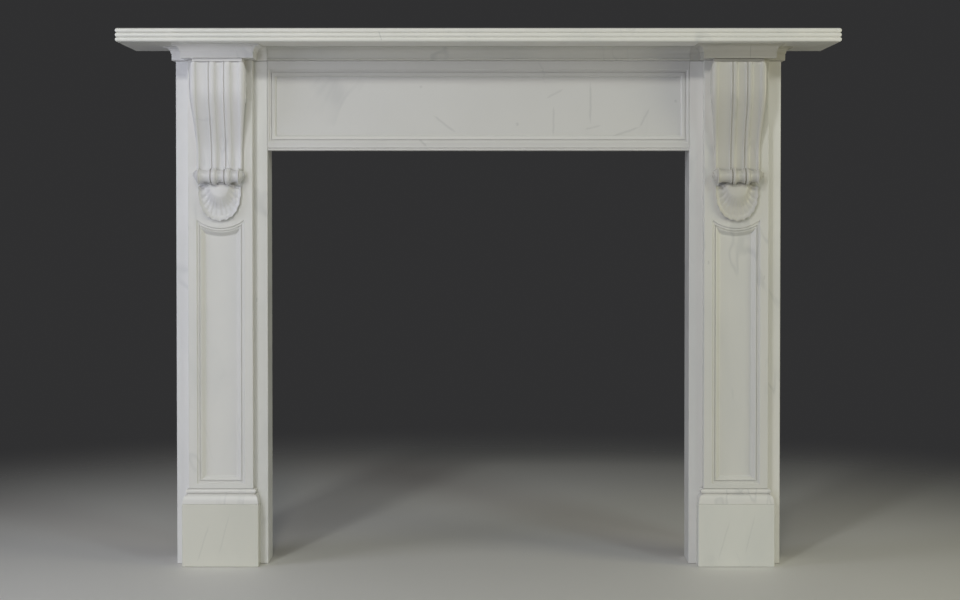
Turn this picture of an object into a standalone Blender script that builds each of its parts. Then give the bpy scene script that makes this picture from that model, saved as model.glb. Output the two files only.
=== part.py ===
"""White marble chimneypiece: a carved surround for a fireplace, with a reeded shelf.

Two legs stand on either side of a nearly square fire opening. Each leg is a plain jamb
with a panelled pilaster on its face. The pilaster stands on a plinth block and a base
moulding, and carries a fluted corbel that ends in a roll and a scallop shell. A panelled
frieze joins the legs, a bed moulding runs along its top and breaks forward over each
corbel, and the shelf lies on the bed moulding.

+X is to the right for someone who faces the fire, -Y points into the room and +Z is up.
The origin is on the floor, at the middle of the width and depth of the whole piece, so
the wall is the plane at +Y. Lengths are in metres.
"""

import math

import bmesh
import bpy

# Fire opening and the slabs around it
OPENING_WIDTH = 0.965
OPENING_HEIGHT = 0.948
JAMB_WIDTH = 0.209
JAMB_DEPTH = 0.081
FRIEZE_HEIGHT = 0.205
FRIEZE_THICKNESS = 0.030
ARRIS = 0.0012

# Shelf, with reeds along its front and both ends
SHELF_DEPTH = 0.215
SHELF_THICKNESS = 0.030
SHELF_END_OVERHANG = 0.110
REED_COUNT = 3
REED_RELIEF = 0.004

# Bed moulding under the shelf: a fascia with a cove above it
BED_HEIGHT = 0.030
FASCIA_HEIGHT = 0.0155
FASCIA_PROJECTION = 0.008
COVE_PROJECTION = 0.024
COVE_LIP = 0.0015
CAP_PROJECTION = 0.042
BEAD_HEIGHT = 0.005
BEAD_RELIEF = 0.004

# Frieze panel and the bead along the frieze's lower edge
FRIEZE_PANEL_END_MARGIN = 0.004
FRIEZE_PANEL_TOP_MARGIN = 0.0205
FRIEZE_PANEL_FOOT_MARGIN = 0.0195
FRIEZE_PANEL_DEPTH = 0.009
FRIEZE_PANEL_MOULD = 0.016
FRIEZE_BEAD = 0.0045
FRIEZE_QUIRK = 0.002

# Pilaster, plinth block and base moulding
PILASTER_WIDTH = 0.147
PILASTER_RELIEF = 0.024
PLINTH_HEIGHT = 0.143
PLINTH_LAP = 0.0135
BASE_MOULD_HEIGHT = 0.033
PANEL_SIDE_MARGIN = 0.0195
PANEL_FOOT_MARGIN = 0.0115
PANEL_DEPTH = 0.012
PANEL_MOULD = 0.020
PANEL_ARCH_RADIUS = 0.087

# Corbel, with its roll and shell, measured down from the soffit of the cap
CORBEL_HEAD_PROJECTION = 0.045
CORBEL_NECK_PROJECTION = 0.010
CORBEL_WIDTH = 0.125
CORBEL_WAIST = 0.104
ABACUS_HEIGHT = 0.007
ABACUS_WIDTH = 0.113
FLUTED_WIDTH_TOP = 0.099
FLUTED_WIDTH_FOOT = 0.093
FLUTE_DEPTH = 0.0035
QUIRK_DEPTH = 0.003
CURL_HEIGHT = 0.021
CURL_BACK = 0.0026
HEAD_DROP = 0.063
NECK_DROP = 0.215
VOLUTE_DROP = 0.058
VOLUTE_HEIGHT = 0.088
VOLUTE_DEPTH = 0.034
VOLUTE_RELIEF = 0.0025
ROLL_DROP = 0.2645
ROLL_RADIUS = 0.019
ROLL_PROJECTION = 0.0385
BOSS_RADIUS = 0.0177
BOSS_EYE_RADIUS = 0.006
BOSS_LENGTH = 0.0135
BOSS_LIFT = 0.004
SHELL_DROP = 0.295
SHELL_WIDTH = 0.098
SHELL_LENGTH = 0.0705
SHELL_HINGE_WIDTH = 0.040
SHELL_HINGE_RISE = 0.022
SHELL_RELIEF = 0.016
SHELL_EDGE = 0.005
SHELL_LOBES = 17
SHELL_FULLNESS = 2.3

# Clearance between pieces that touch
JOINT = 0.0003

# Places worked out from the sizes above
WALL_Y = SHELF_DEPTH / 2
HALF_OPENING = OPENING_WIDTH / 2
LEG_CENTRE = HALF_OPENING + JAMB_WIDTH / 2
HALF_WIDTH = HALF_OPENING + JAMB_WIDTH
PILASTER_FACE = JAMB_DEPTH + PILASTER_RELIEF
SOFFIT = OPENING_HEIGHT + FRIEZE_HEIGHT
SHELF_UNDERSIDE = SOFFIT + BED_HEIGHT + JOINT
PILASTER_FOOT = PLINTH_HEIGHT + BASE_MOULD_HEIGHT
CORBEL_TOP = SOFFIT - JOINT
SHELL_CENTRE = CORBEL_TOP - SHELL_DROP

MARBLE = (0.80, 0.80, 0.79, 1.0)
SIDES = {"left": -1, "right": 1}
ARC_STEPS = 6


def clear_scene():
    for thing in list(bpy.data.objects):
        bpy.data.objects.remove(thing, do_unlink=True)


def marble(name):
    """The polished white marble of one piece."""
    material = bpy.data.materials.new(name)
    material.use_nodes = True
    shader = material.node_tree.nodes["Principled BSDF"]
    shader.inputs["Base Color"].default_value = MARBLE
    shader.inputs["Roughness"].default_value = 0.35
    shader.inputs["Metallic"].default_value = 0.0
    return material


def add_piece(name, shape):
    """Make an object from a bmesh, facing out, with its own marble."""
    bmesh.ops.recalc_face_normals(shape, faces=shape.faces)
    mesh = bpy.data.meshes.new(name)
    shape.to_mesh(mesh)
    shape.free()
    mesh.materials.append(marble(name + " marble"))
    mesh.shade_smooth()
    mesh.set_sharp_from_angle(angle=math.radians(35))
    piece = bpy.data.objects.new(name, mesh)
    bpy.context.scene.collection.objects.link(piece)
    return piece


def add_tool(name, shape):
    """A hidden shape that only cuts, or is joined to, a piece."""
    tool = add_piece(name, shape)
    tool.hide_render = True
    tool.display_type = "WIRE"
    return tool


def combine(piece, tool, operation):
    """Join a tool to a piece, or cut it away, with an exact Boolean."""
    change = piece.modifiers.new(tool.name, "BOOLEAN")
    change.operation = operation
    change.object = tool
    change.solver = "EXACT"


def centre_point(across, forward, height):
    """A point by its distance from the middle, from the wall and from the floor."""
    return (across, WALL_Y - forward, height)


def leg_point(side, out, forward, height):
    """The same on a leg, where out runs from the leg's middle away from the fire."""
    return centre_point(side * (LEG_CENTRE + out), forward, height)


def loft(rings):
    """A closed solid through rings of points, with a flat cap at each end."""
    shape = bmesh.new()
    levels = [[shape.verts.new(point) for point in ring] for ring in rings]
    count = len(levels[0])
    for low, high in zip(levels, levels[1:]):
        for i in range(count):
            j = (i + 1) % count
            shape.faces.new((low[i], low[j], high[j], high[i]))
    shape.faces.new(levels[0])
    shape.faces.new(levels[-1])
    return shape


def eased_block(corners_low, corners_high):
    """A box between two rings of four corners, with its arrises taken off."""
    shape = loft([corners_low, corners_high])
    bmesh.ops.bevel(shape, geom=shape.edges[:], offset=ARRIS, segments=1, affect="EDGES")
    return shape


def spread(low, high, steps):
    """Evenly spaced values from low to high, both ends included."""
    return [low + (high - low) * i / steps for i in range(steps + 1)]


def build_shelf():
    """The shelf: level slices whose edge follows three half-round reeds."""
    half = HALF_WIDTH + SHELF_END_OVERHANG
    pitch = SHELF_THICKNESS / REED_COUNT
    rings = []
    for reed in range(REED_COUNT):
        for turn in spread(0.0, math.pi, ARC_STEPS)[(reed > 0):]:
            inset = REED_RELIEF * (1.0 - math.sin(turn))
            height = SHELF_UNDERSIDE + pitch * (reed + (1.0 - math.cos(turn)) / 2)
            reach = half - inset
            front = SHELF_DEPTH - inset
            rings.append([
                centre_point(-reach, 0.0, height),
                centre_point(-reach, front, height),
                centre_point(reach, front, height),
                centre_point(reach, 0.0, height),
            ])
    add_piece("shelf", loft(rings))


def cove(foot, low):
    """The cove's curve from its foot out to the lip under the shelf."""
    rise = BED_HEIGHT - COVE_LIP - low
    run = COVE_PROJECTION - foot
    curve = []
    for turn in spread(0.0, math.pi / 2, ARC_STEPS):
        curve.append((COVE_PROJECTION - run * math.cos(turn), low + rise * math.sin(turn)))
    curve.append((COVE_PROJECTION, BED_HEIGHT))
    return curve


def cap_outline(side, reach, height):
    """The cap's outline in plan: along the jamb, forward round the corbel, and back."""
    end = JAMB_WIDTH / 2
    step = PILASTER_WIDTH / 2 + reach
    near = JAMB_DEPTH + reach
    far = PILASTER_FACE + CAP_PROJECTION + reach
    corners = [
        (-end, 0.0),
        (-end, near),
        (-step, near),
        (-step, far),
        (step, far),
        (step, near),
        (end + reach, near),
        (end + reach, 0.0),
    ]
    return [leg_point(side, out, forward, height) for out, forward in corners]


def build_cap(name, side):
    """The length of bed moulding that breaks forward over one corbel."""
    profile = [(FASCIA_PROJECTION, 0.0)]
    profile += cove(FASCIA_PROJECTION, FASCIA_HEIGHT)
    rings = [cap_outline(side, reach, SOFFIT + height) for reach, height in profile]
    add_piece("cap_" + name, loft(rings))


def build_bed_moulding():
    """The straight bed moulding over the frieze, with a bead along its foot."""
    foot = FASCIA_PROJECTION - BEAD_RELIEF / 2
    profile = [(-FRIEZE_THICKNESS, BED_HEIGHT), (-FRIEZE_THICKNESS, 0.0)]
    for turn in spread(0.0, math.pi, ARC_STEPS):
        bulge = BEAD_RELIEF * math.sin(turn)
        profile.append((foot + bulge, BEAD_HEIGHT * (1.0 - math.cos(turn)) / 2))
    profile += cove(foot, FASCIA_HEIGHT)
    half = HALF_OPENING - JOINT
    rings = []
    for across in (-half, half):
        rings.append([centre_point(across, JAMB_DEPTH + reach, SOFFIT + height)
                      for reach, height in profile])
    add_piece("bed_moulding", loft(rings))


def panel_profile(width, depth):
    """Inset and depth along a sunk panel's moulding: step, fillet, quirk and ovolo."""
    step = 0.25 * depth
    fillet = 0.28 * width
    quirk = 0.38 * width
    profile = [(0.0, -depth), (0.0, 0.0), (0.1 * width, step), (fillet, step)]
    profile.append(((fillet + quirk) / 2, 2.0 * step))
    for turn in spread(0.0, math.pi / 2, ARC_STEPS):
        inset = quirk + (width - quirk) * math.sin(turn)
        profile.append((inset, step + (depth - step) * (1.0 - math.cos(turn))))
    return profile


def build_frieze():
    """The frieze slab, its sunk panel and the bead on its lower edge."""
    half = HALF_OPENING - JOINT
    foot = OPENING_HEIGHT
    groove = foot + FRIEZE_BEAD
    section = [
        (JAMB_DEPTH - FRIEZE_THICKNESS, foot),
        (JAMB_DEPTH - FRIEZE_BEAD / 2, foot),
        (JAMB_DEPTH - FRIEZE_QUIRK / 4, foot + FRIEZE_BEAD / 4),
        (JAMB_DEPTH, foot + FRIEZE_BEAD / 2),
        (JAMB_DEPTH - FRIEZE_QUIRK / 4, groove - FRIEZE_BEAD / 4),
        (JAMB_DEPTH - FRIEZE_QUIRK, groove),
        (JAMB_DEPTH, groove + FRIEZE_QUIRK),
        (JAMB_DEPTH, SOFFIT - JOINT),
        (JAMB_DEPTH - FRIEZE_THICKNESS, SOFFIT - JOINT),
    ]
    ends = [[centre_point(across, forward, height) for forward, height in section]
            for across in (-half, half)]
    slab = add_piece("frieze", loft(ends))

    reach = HALF_OPENING - FRIEZE_PANEL_END_MARGIN
    top = SOFFIT - FRIEZE_PANEL_TOP_MARGIN
    low = foot + FRIEZE_PANEL_FOOT_MARGIN
    rings = []
    for inset, depth in panel_profile(FRIEZE_PANEL_MOULD, FRIEZE_PANEL_DEPTH):
        forward = JAMB_DEPTH - depth
        rings.append([
            centre_point(-reach + inset, forward, low + inset),
            centre_point(reach - inset, forward, low + inset),
            centre_point(reach - inset, forward, top - inset),
            centre_point(-reach + inset, forward, top - inset),
        ])
    combine(slab, add_tool("frieze_panel_cutter", loft(rings)), "DIFFERENCE")


def build_jamb(name, side):
    """The plain slab of one leg, from the floor to the cap."""
    half = JAMB_WIDTH / 2
    corners = [(-half, 0.0), (-half, JAMB_DEPTH), (half, JAMB_DEPTH), (half, 0.0)]
    rings = [[leg_point(side, out, forward, height) for out, forward in corners]
             for height in (0.0, SOFFIT - JOINT)]
    add_piece("jamb_" + name, eased_block(*rings))


def leg_block(side, half, front, low, high):
    """A block on the face of a jamb."""
    corners = [(-half, JAMB_DEPTH + JOINT), (-half, front), (half, front), (half, JAMB_DEPTH + JOINT)]
    return [[leg_point(side, out, forward, height) for out, forward in corners]
            for height in (low, high)]


def build_plinth(name, side):
    """The plain block under one pilaster."""
    half = PILASTER_WIDTH / 2 + PLINTH_LAP
    rings = leg_block(side, half, PILASTER_FACE + PLINTH_LAP, 0.0, PLINTH_HEIGHT - JOINT)
    add_piece("plinth_" + name, eased_block(*rings))


def base_profile():
    """Reach and height of the base moulding: fillet, ovolo, quirk and bead."""
    fillet = 0.12 * BASE_MOULD_HEIGHT
    ovolo_top = 0.62 * BASE_MOULD_HEIGHT
    bead_foot = 0.69 * BASE_MOULD_HEIGHT
    nose = 0.3 * PLINTH_LAP
    quirk = 0.15 * PLINTH_LAP
    profile = [(PLINTH_LAP - ARRIS, 0.0), (PLINTH_LAP - ARRIS, fillet)]
    for turn in spread(0.0, math.pi / 2, ARC_STEPS):
        rise = (ovolo_top - fillet) * math.sin(turn)
        profile.append((nose + (PLINTH_LAP - nose) * math.cos(turn), fillet + rise))
    profile.append((quirk, ovolo_top))
    for turn in spread(0.0, math.pi, ARC_STEPS):
        rise = (BASE_MOULD_HEIGHT - bead_foot) * (1.0 - math.cos(turn)) / 2
        profile.append((quirk + nose * math.sin(turn), bead_foot + rise))
    return profile


def build_base_moulding(name, side):
    """The moulding between a plinth block and its pilaster."""
    rings = []
    for reach, height in base_profile():
        half = PILASTER_WIDTH / 2 + reach
        front = PILASTER_FACE + reach
        level = PLINTH_HEIGHT + height
        rings.append([
            leg_point(side, -half, JAMB_DEPTH + JOINT, level),
            leg_point(side, -half, front, level),
            leg_point(side, half, front, level),
            leg_point(side, half, JAMB_DEPTH + JOINT, level),
        ])
    add_piece("base_moulding_" + name, loft(rings))


def arched_outline(side, inset, forward):
    """The pilaster panel's outline. Its head curves down, round the shell."""
    half = PILASTER_WIDTH / 2 - PANEL_SIDE_MARGIN - inset
    foot = PILASTER_FOOT + PANEL_FOOT_MARGIN + inset
    radius = PANEL_ARCH_RADIUS + inset
    swing = math.asin(half / radius)
    outline = [(-half, foot), (half, foot)]
    for turn in spread(swing, -swing, 2 * ARC_STEPS):
        outline.append((radius * math.sin(turn), SHELL_CENTRE - radius * math.cos(turn)))
    return [leg_point(side, out, forward, height) for out, height in outline]


def build_pilaster(name, side):
    """The raised slab of one leg, with its sunk and arched panel."""
    rings = leg_block(side, PILASTER_WIDTH / 2, PILASTER_FACE, PILASTER_FOOT + JOINT,
                      SOFFIT - JOINT)
    slab = add_piece("pilaster_" + name, eased_block(*rings))
    cutter = [arched_outline(side, inset, PILASTER_FACE - depth)
              for inset, depth in panel_profile(PANEL_MOULD, PANEL_DEPTH)]
    combine(slab, add_tool("panel_cutter_" + name, loft(cutter)), "DIFFERENCE")


def carved_front(half_fluted, half_whole):
    """Places across a fluted front and their depth below the reeds' crests."""
    inner = 0.25 * half_fluted
    outer = 0.50 * half_fluted
    rim = 0.0012
    flank = half_whole - half_fluted
    crest = half_fluted + 0.3 * flank

    def flute(start, end):
        places = spread(start + rim, end - rim, 4)
        deep = [rim + FLUTE_DEPTH * math.sin(math.pi * i / 4) for i in range(5)]
        return list(zip(places, deep))

    def reed(start, end):
        places = spread(start, end, 4)
        deep = [QUIRK_DEPTH * (1.0 - math.sin(math.pi * i / 4)) for i in range(5)]
        return list(zip(places, deep))

    edge = [(half_fluted, QUIRK_DEPTH)]
    for share in spread(0.0, 1.0, 3):
        place = crest + (half_whole - crest) * math.sin(share * math.pi / 2)
        edge.append((place, 0.65 * flank * (1.0 - math.cos(share * math.pi / 2))))
    front = [(-place, deep) for place, deep in reversed(edge)]
    front += flute(-half_fluted, -outer)
    front += reed(-outer, -inner)
    front += flute(-inner, inner)
    front += reed(inner, outer)
    front += flute(outer, half_fluted)
    front += edge
    return front


def curl(drop):
    """How far the head has rolled back, just under the abacus, as a share of the curl."""
    below = min(max(1.0 - (drop - ABACUS_HEIGHT) / CURL_HEIGHT, 0.0), 1.0)
    return 1.0 - math.sqrt(1.0 - below * below)


def swell(drop):
    """From 1 at a corbel's head to 0 at its neck, in an S-shaped curve."""
    share = min(max((NECK_DROP - drop) / (NECK_DROP - HEAD_DROP), 0.0), 1.0)
    return share * share * (3.0 - 2.0 * share)


def corbel_half(drop):
    """Half the width of a corbel's body at one level."""
    waist = CORBEL_WAIST / 2
    return waist + (CORBEL_WIDTH / 2 - waist) * swell(drop) - 0.3 * CURL_HEIGHT * curl(drop)


def corbel_ring(side, front, out_by, drop, tuck):
    """One level slice of a corbel: its carved front and its flat back."""
    height = CORBEL_TOP - drop
    back = PILASTER_FACE + JOINT
    ring = [leg_point(side, place, PILASTER_FACE + out_by - deep, height) for place, deep in front]
    ring.append(leg_point(side, front[-1][0] - tuck, back, height))
    ring.append(leg_point(side, front[0][0] + tuck, back, height))
    return ring


def corbel_body(side):
    """The S-shaped front of a corbel, from its abacus down into the roll."""
    rings = []
    half = ABACUS_WIDTH / 2
    plain = [(place * half, 0.0) for place, deep in carved_front(CORBEL_WAIST / CORBEL_WIDTH, 1.0)]
    for drop in (0.0, ABACUS_HEIGHT):
        rings.append(corbel_ring(side, plain, CORBEL_HEAD_PROJECTION, drop, 0.0))
    drops = [ABACUS_HEIGHT + CURL_HEIGHT * share for share in (0.05, 0.15, 0.35, 0.65, 1.0)]
    drops += spread(HEAD_DROP * 0.8, NECK_DROP, 9)
    drops.append(ROLL_DROP - 0.8 * ROLL_RADIUS)
    for drop in drops:
        full = swell(drop)
        half = corbel_half(drop)
        fluted = (FLUTED_WIDTH_FOOT + (FLUTED_WIDTH_TOP - FLUTED_WIDTH_FOOT) * full) / 2
        out_by = CORBEL_NECK_PROJECTION + (CORBEL_HEAD_PROJECTION - CORBEL_NECK_PROJECTION) * full
        out_by -= CURL_BACK * curl(drop)
        front = carved_front(fluted, half)
        rings.append(corbel_ring(side, front, out_by, drop, 0.35 * (half - fluted)))
    inner = carved_front(0.44 * FLUTED_WIDTH_FOOT, 0.48 * FLUTED_WIDTH_FOOT)
    for drop in (ROLL_DROP - 0.7 * ROLL_RADIUS, ROLL_DROP + 0.2 * ROLL_RADIUS):
        rings.append(corbel_ring(side, inner, CORBEL_NECK_PROJECTION, drop, 0.0))
    return loft(rings)


def corbel_volute(side, end):
    """The raised oval scroll on one flank of a corbel's head."""
    sides = 16
    steps = [(0.98, -2.5), (1.0, 0.0), (0.94, 1.0), (0.8, 1.0),
             (0.7, 0.1), (0.6, 0.1), (0.5, 1.0), (0.2, 1.4)]
    rings = []
    for size, proud in steps:
        ring = []
        for i in range(sides):
            turn = 2 * math.pi * i / sides
            drop = VOLUTE_DROP - size * VOLUTE_HEIGHT / 2 * math.sin(turn)
            forward = CORBEL_HEAD_PROJECTION / 2 + size * VOLUTE_DEPTH / 2 * math.cos(turn)
            place = end * (corbel_half(drop) + proud * VOLUTE_RELIEF)
            ring.append(leg_point(side, place, PILASTER_FACE + forward, CORBEL_TOP - drop))
        rings.append(ring)
    return loft(rings)


def corbel_roll(side):
    """The roll at a corbel's foot, turned about a level line, with the same flutes."""
    centre = PILASTER_FACE + ROLL_PROJECTION - ROLL_RADIUS
    level = CORBEL_TOP - ROLL_DROP
    sides = 14
    half = FLUTED_WIDTH_FOOT / 2
    rings = []
    for place, deep in carved_front(half * 0.96, half):
        radius = ROLL_RADIUS - 0.8 * deep
        ring = []
        for i in range(sides):
            turn = 2 * math.pi * i / sides
            ring.append(leg_point(side, place, centre + radius * math.cos(turn),
                                  level + radius * math.sin(turn)))
        rings.append(ring)
    return loft(rings)


def corbel_boss(side, end):
    """One end of the roll: a low cone with a small eye at its tip, set a little high."""
    centre = PILASTER_FACE + ROLL_PROJECTION - ROLL_RADIUS
    root = FLUTED_WIDTH_FOOT / 2 - 0.08 * BOSS_LENGTH
    sides = 12
    steps = [(0.0, BOSS_RADIUS), (0.05, BOSS_RADIUS), (0.7, 1.25 * BOSS_EYE_RADIUS), (0.82, BOSS_EYE_RADIUS),
             (1.0, 0.2 * BOSS_EYE_RADIUS)]
    rings = []
    for reach, radius in steps:
        place = end * (root + reach * BOSS_LENGTH)
        level = CORBEL_TOP - ROLL_DROP + reach * BOSS_LIFT
        rings.append([leg_point(side, place, centre + radius * math.cos(2 * math.pi * i / sides),
                                level + radius * math.sin(2 * math.pi * i / sides))
                      for i in range(sides)])
    return loft(rings)


def shell_edge(share):
    """A point on the shell's scalloped edge, from its left shoulder round to the right."""
    half = SHELL_WIDTH / 2
    shoulder = ROLL_RADIUS / 2
    scallop = 1.0 - 0.035 * abs(math.cos(math.pi * SHELL_LOBES * share))
    lead = 0.08
    if share < lead:
        return -half * scallop, shoulder * (1.0 - share / lead)
    if share > 1.0 - lead:
        return half * scallop, shoulder * (1.0 - (1.0 - share) / lead)
    turn = math.pi * ((share - lead) / (1.0 - 2 * lead) - 0.5)
    power = 2.0 / SHELL_FULLNESS
    across = math.copysign(abs(math.sin(turn)) ** power, turn)
    return half * across * scallop, -SHELL_LENGTH * math.cos(turn) ** power * scallop


def corbel_shell(side):
    """The scallop shell under the roll: ribs that fan from its hinge to its edge."""
    columns = SHELL_LOBES * 3
    rows = 4
    hinge = SHELL_HINGE_RISE
    shape = bmesh.new()
    grid = []
    for i in range(rows + 1):
        out = i / rows
        line = []
        for j in range(columns + 1):
            share = j / columns
            edge_x, edge_z = shell_edge(share)
            start_x = SHELL_HINGE_WIDTH * (share - 0.5)
            across = start_x + (edge_x - start_x) * out
            rise = hinge + (edge_z - hinge) * out
            rib = 0.1 * SHELL_RELIEF * out * abs(math.sin(math.pi * SHELL_LOBES * share))
            bulge = math.sin(math.pi * (0.22 + 0.78 * out))
            relief = SHELL_EDGE + (SHELL_RELIEF - SHELL_EDGE) * bulge + rib
            line.append((across, rise, relief))
        grid.append(line)

    def vertex(across, rise, relief):
        return shape.verts.new(leg_point(side, across, PILASTER_FACE + JOINT + relief,
                                         SHELL_CENTRE + rise))

    front = [[vertex(*point) for point in line] for line in grid]
    for low, high in zip(front, front[1:]):
        for j in range(columns):
            shape.faces.new((low[j], low[j + 1], high[j + 1], high[j]))
    border = [(i, 0) for i in range(rows, 0, -1)]
    border += [(0, j) for j in range(columns + 1)]
    border += [(i, columns) for i in range(1, rows + 1)]
    border += [(rows, j) for j in range(columns - 1, 0, -1)]
    back = [vertex(grid[i][j][0], grid[i][j][1], 0.0) for i, j in border]
    for k, (i, j) in enumerate(border):
        n = (k + 1) % len(border)
        shape.faces.new((front[i][j], front[border[n][0]][border[n][1]], back[n], back[k]))
    shape.faces.new(back)
    return shape


def build_corbel(name, side):
    """One corbel, carved in one with its roll, its bosses and its shell."""
    body = add_piece("corbel_" + name, corbel_body(side))
    parts = {
        "roll_": corbel_roll(side),
        "inner_volute_": corbel_volute(side, -1),
        "outer_volute_": corbel_volute(side, 1),
        "inner_boss_": corbel_boss(side, -1),
        "outer_boss_": corbel_boss(side, 1),
        "shell_": corbel_shell(side),
    }
    for label, shape in parts.items():
        combine(body, add_tool(label + name, shape), "UNION")


def main():
    clear_scene()
    build_shelf()
    build_bed_moulding()
    build_frieze()
    for name, side in SIDES.items():
        build_cap(name, side)
        build_jamb(name, side)
        build_plinth(name, side)
        build_base_moulding(name, side)
        build_pilaster(name, side)
        build_corbel(name, side)


main()
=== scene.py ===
# %% [markdown]
# A chimneypiece in white marble
#
# This lesson dresses a marble fire surround. The real one is a kit of carved blocks:
# a reeded shelf, a bed moulding, a panelled frieze, and two legs with pilasters,
# fluted corbels and scallop shells. The frame gives the place and size of every block.
# Each carved block is cut again here, finer, and the plain ones only get their marble.

# %% Load the frame
import math

import bmesh
import bpy
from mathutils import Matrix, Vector


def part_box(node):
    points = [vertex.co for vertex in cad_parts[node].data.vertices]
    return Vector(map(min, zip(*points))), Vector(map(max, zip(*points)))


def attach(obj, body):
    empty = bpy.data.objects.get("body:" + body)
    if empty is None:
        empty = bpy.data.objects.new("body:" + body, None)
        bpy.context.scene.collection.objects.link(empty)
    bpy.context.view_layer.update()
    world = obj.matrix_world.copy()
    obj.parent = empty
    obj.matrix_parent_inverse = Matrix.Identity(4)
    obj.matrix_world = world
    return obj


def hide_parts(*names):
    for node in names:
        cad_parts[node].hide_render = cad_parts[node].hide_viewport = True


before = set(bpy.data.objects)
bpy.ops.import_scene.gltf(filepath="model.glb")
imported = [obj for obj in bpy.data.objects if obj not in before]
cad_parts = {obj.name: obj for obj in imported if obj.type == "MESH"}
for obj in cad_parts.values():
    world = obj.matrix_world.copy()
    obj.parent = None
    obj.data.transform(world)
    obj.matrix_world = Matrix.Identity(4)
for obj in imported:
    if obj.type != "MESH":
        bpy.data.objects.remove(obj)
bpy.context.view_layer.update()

# %% [markdown]
# Measures read from the frame
#
# The mason's setting-out lines all come from the blocks: the wall face, the face of a
# jamb, the face of a pilaster, the middle of each leg and the soffit of the shelf.
# Reading them from the frame keeps every carved piece where its block is.

# %% Setting-out lines
SIDES = {"left": -1, "right": 1}
JOINT = 0.0003

shelf_low, shelf_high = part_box("shelf")
jamb_low, jamb_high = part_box("jamb_right")
pilaster_low, pilaster_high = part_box("pilaster_right")
plinth_low, plinth_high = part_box("plinth_right")

WALL = shelf_high.y
HALF_OPENING = jamb_low.x
LEG_CENTRE = (jamb_low.x + jamb_high.x) / 2
JAMB_FACE = WALL - jamb_low.y
PILASTER_FACE = WALL - pilaster_low.y
PILASTER_HALF = (pilaster_high.x - pilaster_low.x) / 2
PLINTH_LAP = (plinth_high.x - plinth_low.x) / 2 - PILASTER_HALF
SOFFIT = jamb_high.z + JOINT
print("leg centre", round(LEG_CENTRE, 4), "pilaster face", round(PILASTER_FACE, 4))


def centre_point(across, forward, height):
    """A point by its distance from the middle, from the wall and from the floor."""
    return (across, WALL - forward, height)


def leg_point(side, out, forward, height):
    """The same on a leg, where out runs from the leg's middle away from the fire."""
    return centre_point(side * (LEG_CENTRE + out), forward, height)


# %% [markdown]
# The camera
#
# The surround is seen nearly square on, from above the middle of its height. A long lens
# keeps its sides from spreading. The camera looks down by a single degree, and a lens
# shift does the rest of the framing, so the uprights stay almost parallel.

# %% Place the camera
lens = bpy.data.cameras.new("camera")
lens.lens = 62.3
lens.sensor_width = 36.0
lens.shift_y = -0.0603
camera = bpy.data.objects.new("camera", lens)
camera.location = (0.0037, -3.7765, 0.805)
camera.rotation_euler = (math.radians(89.0), 0.0, 0.0)
bpy.context.scene.collection.objects.link(camera)
bpy.context.scene.camera = camera
bpy.context.scene.view_settings.view_transform = "Standard"
print("camera at", tuple(camera.location))

# %% [markdown]
# Floor, backdrop and light
#
# White marble reads best against something darker, so the backdrop is a plain deep grey
# and the pale floor fades into it a step behind the hearth. The light is soft. Lamps high
# in front draw the mouldings with the shadow of the shelf, most of it from the left. Cool
# lamps at the left and a warm one at the right fill the shadows, so that the left leg is
# bright and bluish and the right one quieter and warmer, as between window and room.

# %% Pale floor
FLOOR_RADIUS = 2.6

disc = bmesh.new()
bmesh.ops.create_circle(disc, cap_ends=True, segments=96, radius=FLOOR_RADIUS)
floor_mesh = bpy.data.meshes.new("floor")
disc.to_mesh(floor_mesh)
disc.free()
floor = bpy.data.objects.new("floor", floor_mesh)
bpy.context.scene.collection.objects.link(floor)
floor.location = (0.0, 0.0, -0.0005)

paint = bpy.data.materials.new("floor paint")
paint.use_nodes = True
nodes, links = paint.node_tree.nodes, paint.node_tree.links
place = nodes.new("ShaderNodeTexCoord")
reach = nodes.new("ShaderNodeVectorMath")
reach.operation = "LENGTH"
links.new(place.outputs["Object"], reach.inputs[0])
fade = nodes.new("ShaderNodeMapRange")
fade.interpolation_type = "SMOOTHSTEP"
for label, value in (("From Min", 0.9), ("From Max", FLOOR_RADIUS * 0.97), ("To Min", 1.0), ("To Max", 0.0)):
    fade.inputs[label].default_value = value
links.new(reach.outputs["Value"], fade.inputs["Value"])
links.new(fade.outputs["Result"], nodes["Principled BSDF"].inputs["Alpha"])
nodes["Principled BSDF"].inputs["Base Color"].default_value = (0.78, 0.775, 0.76, 1.0)
nodes["Principled BSDF"].inputs["Roughness"].default_value = 0.6
floor_mesh.materials.append(paint)
print("floor radius", FLOOR_RADIUS)

# %% Backdrop and lamps
world = bpy.data.worlds.new("backdrop")
world.use_nodes = True
world.node_tree.nodes["Background"].inputs["Color"].default_value = (0.030, 0.030, 0.031, 1.0)
bpy.context.scene.world = world

AIM = Vector((0.0, 0.0, 0.75))


def add_lamp(name, place, size, power, colour):
    """A soft square lamp that faces the surround and is not seen itself."""
    lamp = bpy.data.lights.new(name, "AREA")
    lamp.shape = "SQUARE"
    lamp.size = size
    lamp.energy = power
    lamp.color = colour
    holder = bpy.data.objects.new(name, lamp)
    holder.location = place
    holder.rotation_euler = (AIM - Vector(place)).to_track_quat("-Z", "Y").to_euler()
    holder.visible_camera = False
    bpy.context.scene.collection.objects.link(holder)


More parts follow.
